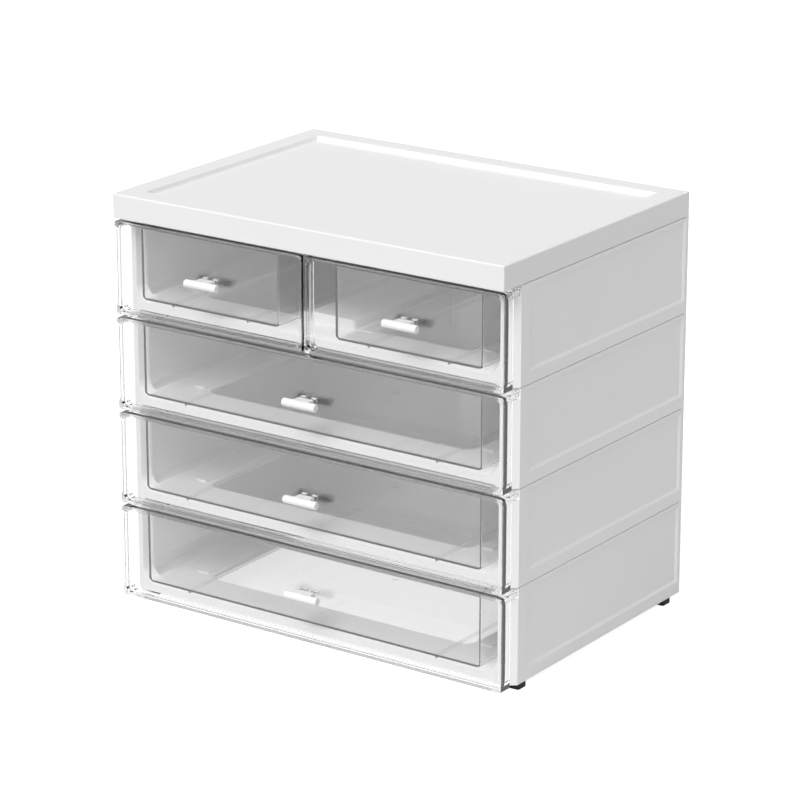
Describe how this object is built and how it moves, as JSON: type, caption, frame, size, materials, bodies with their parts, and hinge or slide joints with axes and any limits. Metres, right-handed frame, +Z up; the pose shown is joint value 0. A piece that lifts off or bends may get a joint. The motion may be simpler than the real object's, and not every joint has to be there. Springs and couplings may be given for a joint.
{
  "type": "desktop drawer cabinet",
  "caption": "Desktop cosmetics cabinet: stacked white casings under a tray-topped lid, with clear pull-out drawers, small T pulls and rubber feet.",
  "frame": {"origin": "middle of the whole cabinet's outline, on the surface it stands on", "axes": "+Z up; the drawers open towards -Y; +X to the right seen from the front"},
  "size_m": [0.26, 0.1923, 0.2422],
  "materials": {
    "lid_white": "satin",
    "casing_white": "satin",
    "handle_white": "gloss",
    "clear_front": "clear gloss",
    "clear_box": "clear gloss",
    "foot_rubber": "matte"
  },
  "bodies": {
    "cabinet": {"top_lid": "lid_white", "casing_1": "casing_white", "casing_2": "casing_white", "casing_3": "casing_white", "casing_4": "casing_white", "centre_rail": "casing_white", "foot_front_left": "foot_rubber", "foot_front_right": "foot_rubber", "foot_rear_left": "foot_rubber", "foot_rear_right": "foot_rubber"},
    "drawer_1": {"drawer_front_1": "clear_front", "drawer_box_1": "clear_box", "handle_1": "handle_white"},
    "drawer_2": {"drawer_front_2": "clear_front", "drawer_box_2": "clear_box", "handle_2": "handle_white"},
    "drawer_3": {"drawer_front_3": "clear_front", "drawer_box_3": "clear_box", "handle_3": "handle_white"},
    "drawer_left": {"drawer_front_left": "clear_front", "drawer_box_left": "clear_box", "handle_left": "handle_white"},
    "drawer_right": {"drawer_front_right": "clear_front", "drawer_box_right": "clear_box", "handle_right": "handle_white"}
  },
  "joints": [
    {"name": "drawer_1_slide", "type": "slide", "parent": "cabinet", "child": "drawer_1", "axis": [0, -1, 0], "range_m": [0, 0.12]},
    {"name": "drawer_2_slide", "type": "slide", "parent": "cabinet", "child": "drawer_2", "axis": [0, -1, 0], "range_m": [0, 0.12]},
    {"name": "drawer_3_slide", "type": "slide", "parent": "cabinet", "child": "drawer_3", "axis": [0, -1, 0], "range_m": [0, 0.12]},
    {"name": "drawer_left_slide", "type": "slide", "parent": "cabinet", "child": "drawer_left", "axis": [0, -1, 0], "range_m": [0, 0.12]},
    {"name": "drawer_right_slide", "type": "slide", "parent": "cabinet", "child": "drawer_right", "axis": [0, -1, 0], "range_m": [0, 0.12]}
  ]
}
